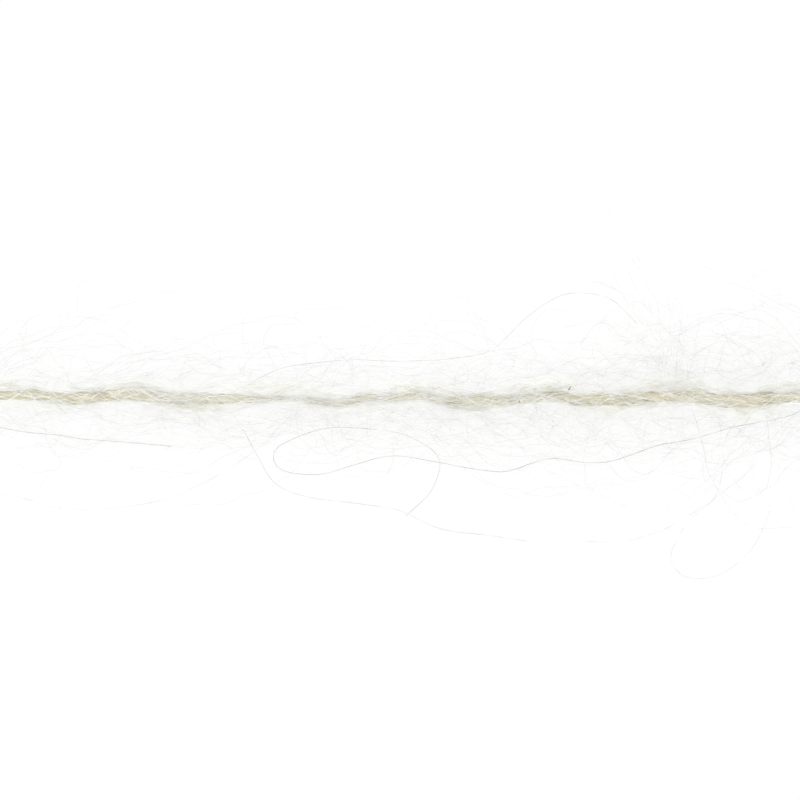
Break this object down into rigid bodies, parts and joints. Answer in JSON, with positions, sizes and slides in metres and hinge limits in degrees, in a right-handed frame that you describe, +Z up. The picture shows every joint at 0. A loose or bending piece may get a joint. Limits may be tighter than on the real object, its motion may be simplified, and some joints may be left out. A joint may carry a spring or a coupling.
{
  "type": "yarn strand",
  "caption": "Cut length of fluffy cream alpaca yarn: a loosely twisted strand lying flat, with a halo of fine brushed hairs.",
  "frame": {"origin": "on the surface that the strand lies on, in the middle of its contact patch nearest mid-length", "axes": "+X along the strand, +Y across it on the surface, +Z up from the surface"},
  "size_m": [0.0974, 0.0397, 0.0084],
  "materials": {
    "alpaca_fibre": "matt, brushed, undyed cream"
  },
  "bodies": {
    "root": {"yarn_strand": "alpaca_fibre"}
  },
  "joints": []
}
